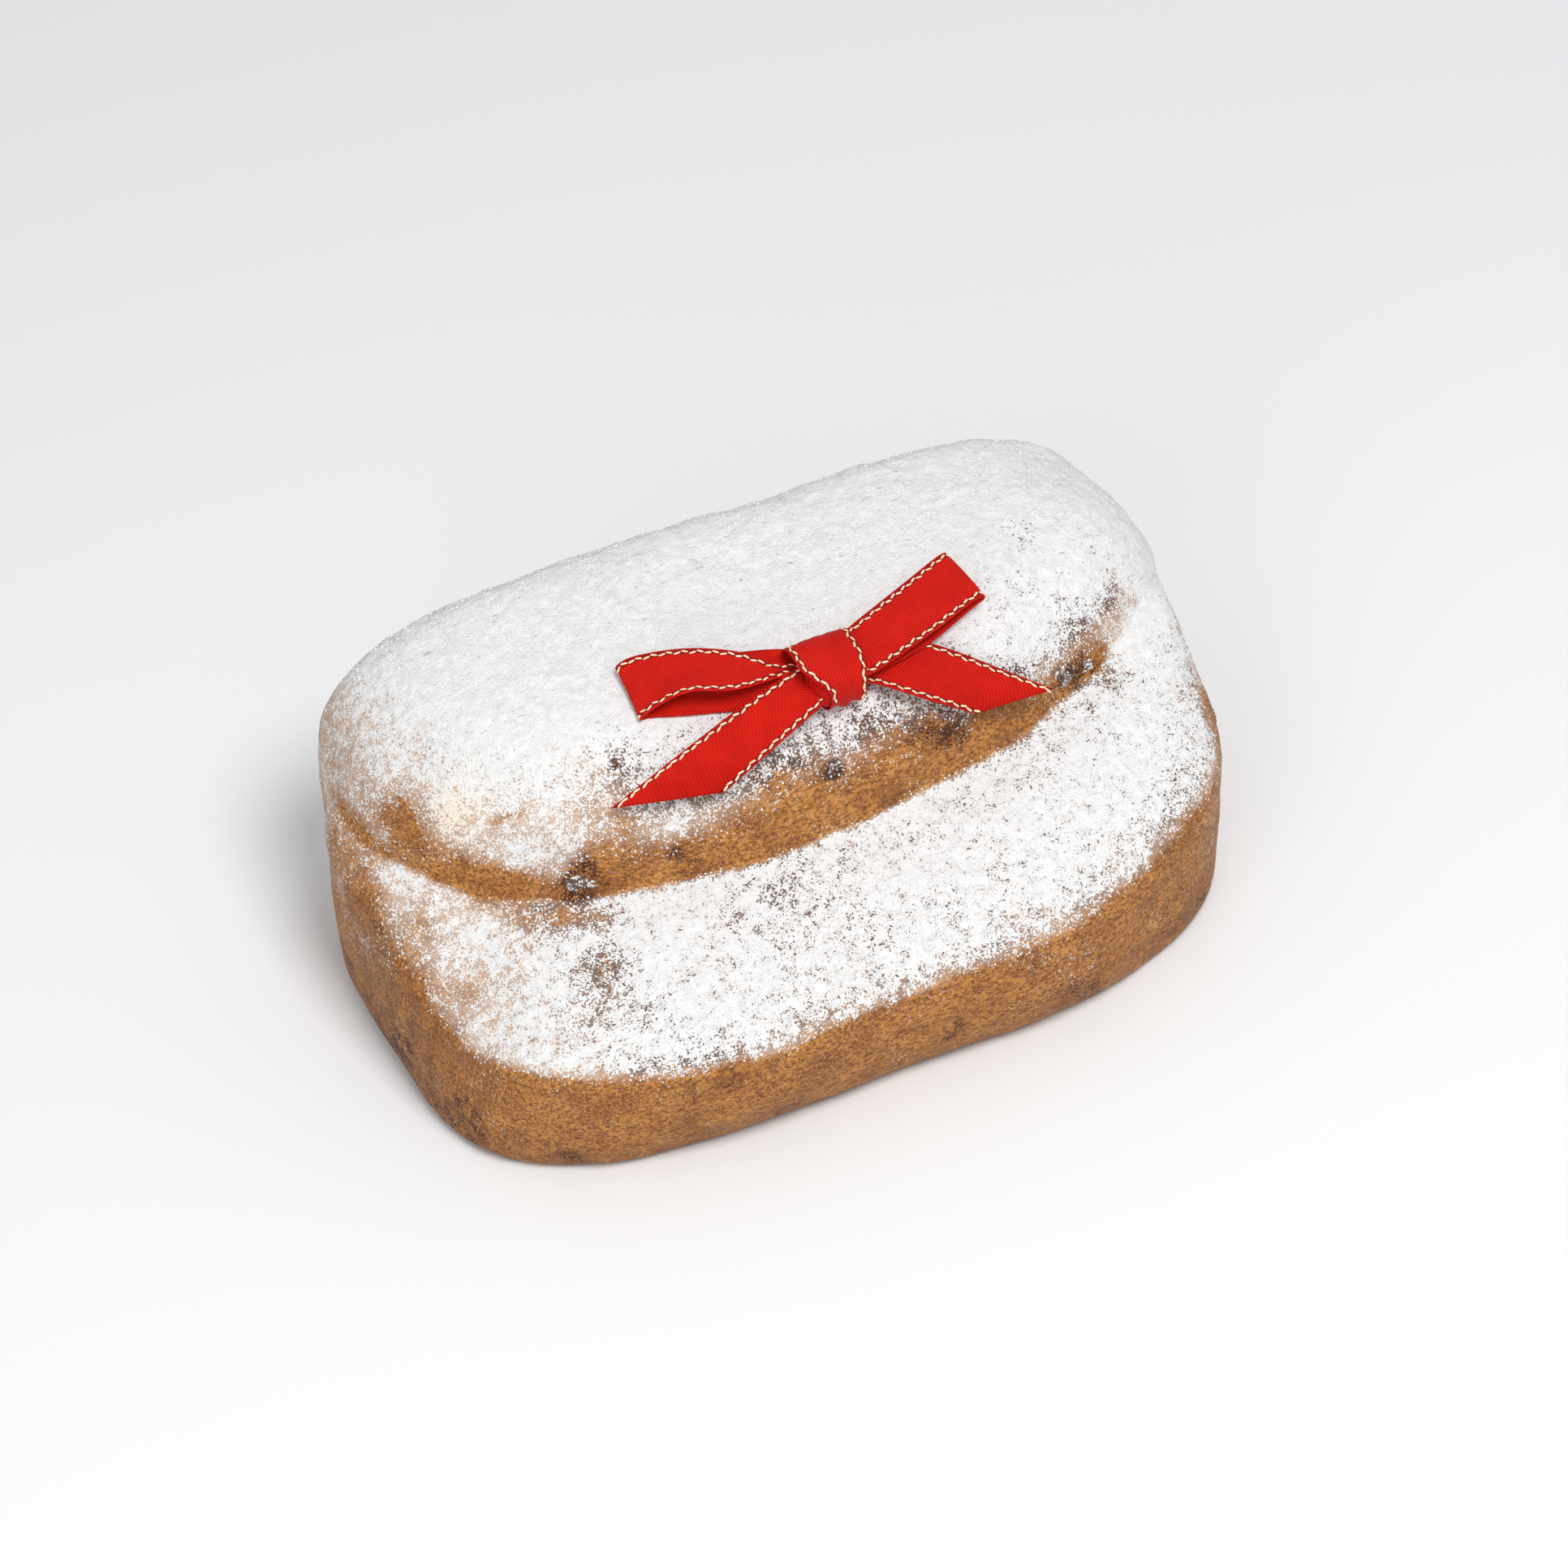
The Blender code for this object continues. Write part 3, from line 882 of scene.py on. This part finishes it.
def grid_mesh(name, grid, stitched, closed=False):
    """Quads between the rows and columns, and a map of metres along and across the ribbon."""
    rows, columns = grid.shape[:2]
    index = np.arange(rows * columns).reshape(rows, columns)
    if closed:
        index = np.concatenate([index, index[:1]])
    quads = np.stack([index[:-1, :-1], index[:-1, 1:], index[1:, 1:], index[1:, :-1]], -1)
    mesh = mesh_from(name, grid.reshape(-1, 3).tolist(), quads.reshape(-1, 4).tolist())
    along = run_lengths(grid[:, columns // 2])
    width = np.linalg.norm(grid[:, -1] - grid[:, 0], axis=1)
    across = width[:, None] * (np.linspace(-0.5, 0.5, columns))[None, :]
    places = np.stack([np.broadcast_to(along[:, None], across.shape), across], -1).reshape(-1, 2)
    edge = np.minimum(np.linspace(0, 1, columns), np.linspace(1, 0, columns))
    unsewn = np.linspace(0, 1, rows) > stitched
    paint(mesh, "from_edge", (width[:, None] * (edge[None, :] + unsewn[:, None])).ravel())
    layer = mesh.uv_layers.new(name="weave")
    corners = np.empty(len(mesh.loops), np.int32)
    mesh.loops.foreach_get("vertex_index", corners)
    layer.data.foreach_set("uv", places[corners].astype(np.float32).ravel())
    return mesh


def knot_grid():
    """The turn of ribbon round the middle, gathered and narrower where it tucks under."""
    turns = np.linspace(0, math.tau, KNOT_ROWS + 1)[:-1] + KNOT_START
    share = np.linspace(-1, 1, CELLS_ACROSS + 1)
    grid = np.empty((len(turns), len(share), 3))
    for row, turn in enumerate(turns):
        front = math.sin(turn)
        top = math.cos(turn)
        tuck = float(smoothstep(-0.35, 1.25, front - 0.75 * top))
        width = KNOT_WIDTH * (1 - 0.42 * tuck)
        shift = (-1.6 + 2.2 * tuck) * MM
        round_part = (abs(front) ** 2.5 + abs(top) ** 2.5) ** (-1 / 2.5)
        for column, side in enumerate(share):
            folds = 0.035 * math.cos(side * 7 + 0.8) * (0.2 + tuck)
            creases = 0.012 * math.cos(side * 15 + turn)
            barrel = (1 - 0.05 * abs(side) ** 3) * round_part * (1 + folds + creases)
            grid[row, column] = KNOT_CENTRE + (
                shift + side * width,
                -front * barrel * KNOT_HALF[1] * (1 + 0.14 * tuck),
                top * barrel * (KNOT_HALF[2] + (KNOT_BELOW if top < 0 else 0)),
            )
    return grid


def core_grid(knot):
    """The gathered ribbon inside the turn, which fills it from side to side."""
    turn = np.linspace(0, math.tau, KNOT_ROWS + 1)[:-1, None, None]
    side = np.linspace(-0.99, 0.99, CELLS_ACROSS + 1)[None, :, None]
    ring = (knot[:, CELLS_ACROSS // 2] - KNOT_CENTRE)[:, None, :] * (0, 1, 1)
    pleats = 1 + 0.08 * side**2 * np.cos(9 * turn)
    gathered = CORE_FILL * np.sqrt(1 - np.abs(side) ** 3) * pleats
    return KNOT_CENTRE + ring * gathered + side * np.array((CORE_REACH, 0, 0))


def stitch_rows(grid, stitched):
    """Place, direction and normal of each stitch along both edges of a grid's sewn share."""
    dice = random.Random(3)
    normals = grid_normals(grid)
    step = np.linalg.norm(grid[:, -1] - grid[:, 0], axis=1) / (grid.shape[1] - 1)
    inset = np.clip(STITCH_INSET / step, 0.2, 3.0)[:, None]
    found = []
    for edge, inner in ((0, 1), (-1, -2)):
        inwards = grid[:, inner] - grid[:, edge]
        line = grid[:, edge] + inwards * inset
        sideways = unit(inwards)
        lengths = run_lengths(line)
        stops = np.arange(STITCH_PITCH / 2, lengths[-1] * stitched, STITCH_PITCH)
        for number, at in enumerate(stops):
            swing = dice.uniform(0.6, 1.4) * (1 if number % 2 else -1)
            place, ahead = (
                np.array([np.interp(there, lengths, line[:, axis]) for axis in range(3)])
                for there in (at, at + 0.3 * MM)
            )
            nearest = int(np.argmin(np.abs(lengths - at)))
            aside = sideways[nearest] * swing
            direction = unit(unit(ahead - place) + STITCH_SLANT * aside)
            found.append((place + STITCH_SWAY * aside, direction, normals[nearest, edge]))
    return found


def build_stitches(runs, material):
    """Every stitch of gold thread: a small capsule that shows on both faces of the ribbon."""
    ball, faces = unit_ball(2)
    shaped = np.sign(ball) * np.abs(ball) ** (0.8, 1.0, 1.0) * STITCH_HALF
    stitches = [stitch for grid, stitched in runs for stitch in stitch_rows(grid, stitched)]
    all_points = []
    for place, direction, normal in stitches:
        across = unit(np.cross(normal, direction))
        axes = np.array([direction, across, unit(np.cross(direction, across))])
        all_points.append(place + shaped @ axes)
    all_faces = np.concatenate([faces + number * len(ball) for number in range(len(stitches))])
    mesh = mesh_from("bow_stitches", np.concatenate(all_points).tolist(), all_faces.tolist())
    stitching = object_from("bow_stitches", mesh, material)
    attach(stitching, "root")


def add_ribbon(name, grid, stitched, material, closed=False):
    """One run of ribbon as its own piece, thickened equally to both sides."""
    run = object_from(name, grid_mesh(name, grid, stitched, closed), material)
    solidify = run.modifiers.new("thickness", "SOLIDIFY")
    solidify.thickness = RIBBON_THICKNESS
    solidify.offset = 0.0
    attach(run, "root")
    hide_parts("ribbon_bow")


def build_bow(red, gold):
    """Loops, tails, the turn round the middle with what fills it, and the stitches on them."""
    runs = []
    for seed, (name, (stations, stitched)) in enumerate(RUNS.items()):
        grid = ribbon_grid(stations, seed)
        add_ribbon(f"ribbon_{name}", grid, stitched, red)
        runs.append((grid, stitched))
    knot = knot_grid()
    add_ribbon("ribbon_knot", knot, KNOT_STITCHED, red, closed=True)
    runs.append((knot, KNOT_STITCHED))
    add_ribbon("ribbon_core", core_grid(knot), UNSTITCHED, red, closed=True)
    build_stitches(runs, gold)


# ---- Stage -----------------------------------------------------------------------------------
CAMERA_PLACE = (-0.3985, -0.91745, 1.0536)
CAMERA_TURN = math.radians(-23.47)
CAMERA_HEIGHT = math.radians(45.30)
CAMERA_ROLL = math.radians(-2.31)
LENS = 141.75               # millimetres, with this width of sensor
SENSOR_WIDTH = 36.0
AIM = (0, 0, 0.05)
# Name, place, size and watts.
SOFTBOXES = (
    ("key", (0.05, -0.6, 1.2), 0.5, 11.4),
    ("fill", (-0.9, -0.8, 0.7), 0.9, 3.5),
)
SKY = rgb(0.95, 0.97, 1.0)
SKY_STRENGTH = 0.55
FLOOR_HALF = 4.0            # half of its side
FLOOR_DROP = 0.2 * MM
FLOOR_PALE = rgb(0.82, 0.82, 0.82)
FLOOR_DIM = rgb(0.80, 0.80, 0.80)


def add_camera():
    """The camera at the height and turn from which the stollen is seen."""
    back = Vector((
        math.sin(CAMERA_TURN) * math.cos(CAMERA_HEIGHT),
        -math.cos(CAMERA_TURN) * math.cos(CAMERA_HEIGHT),
        math.sin(CAMERA_HEIGHT),
    ))
    right = Vector((math.cos(CAMERA_TURN), math.sin(CAMERA_TURN), 0))
    axes = Matrix((right, back.cross(right), back)).transposed()
    camera = bpy.data.objects.new("camera", bpy.data.cameras.new("camera"))
    camera.data.lens = LENS
    camera.data.sensor_width = SENSOR_WIDTH
    camera.matrix_world = Matrix.LocRotScale(
        Vector(CAMERA_PLACE), (axes @ Matrix.Rotation(CAMERA_ROLL, 3, "Z")).to_quaternion(), None
    )
    bpy.context.scene.collection.objects.link(camera)
    bpy.context.scene.camera = camera


def add_softbox(name, place, size, watts):
    light = bpy.data.lights.new(name, "AREA")
    light.shape = "DISK"
    light.size = size
    light.energy = watts
    obj = bpy.data.objects.new(name, light)
    obj.location = place
    obj.rotation_euler = (Vector(AIM) - Vector(place)).to_track_quat("-Z", "Y").to_euler()
    bpy.context.scene.collection.objects.link(obj)


def add_stage():
    """A wide pale floor and soft studio light."""
    shader = Shader("pale_floor")
    shade = shader.noise(shader.place(), 0.4, 2.0)
    shader.link(shader.mix(shade, FLOOR_PALE, FLOOR_DIM), "Base Color")
    shader.set(Roughness=0.9)
    corners = [(x * FLOOR_HALF, y * FLOOR_HALF, 0) for x, y in ((-1, -1), (1, -1), (1, 1), (-1, 1))]
    floor = object_from("floor", mesh_from("floor", corners, [(0, 1, 2, 3)]), shader.material)
    floor.location.z = -FLOOR_DROP

    world = bpy.data.worlds.new("studio")
    world.use_nodes = True
    sky = world.node_tree.nodes["Background"]
    sky.inputs["Color"].default_value = SKY
    sky.inputs["Strength"].default_value = SKY_STRENGTH
    bpy.context.scene.world = world
    for name, place, size, watts in SOFTBOXES:
        add_softbox(name, place, size, watts)
    bpy.context.scene.view_settings.view_transform = "Standard"


def main():
    add_camera()
    add_stage()
    names = [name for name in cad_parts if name.startswith("raisin")]
    raisins = []
    for name in names:
        centre, _, half = raisin_shape(name)
        raisins.append((centre, half[:2].mean()))
    dough = dough_object()
    crust = crust_material()
    build_crust(dough, raisins, crust)
    sugar = build_sugar(dough, raisins, crust)
    bpy.data.objects.remove(dough, do_unlink=True)
    build_clumps(sugar, clump_material())

    dark_skin = raisin_material("raisin_dark", *DARK_RAISIN)
    maroon_skin = raisin_material("raisin_maroon", *MAROON_RAISIN)
    for name in names:
        build_raisin(name, maroon_skin if name in REDDISH_RAISINS else dark_skin)
    build_bow(ribbon_material(), thread_material())


main()
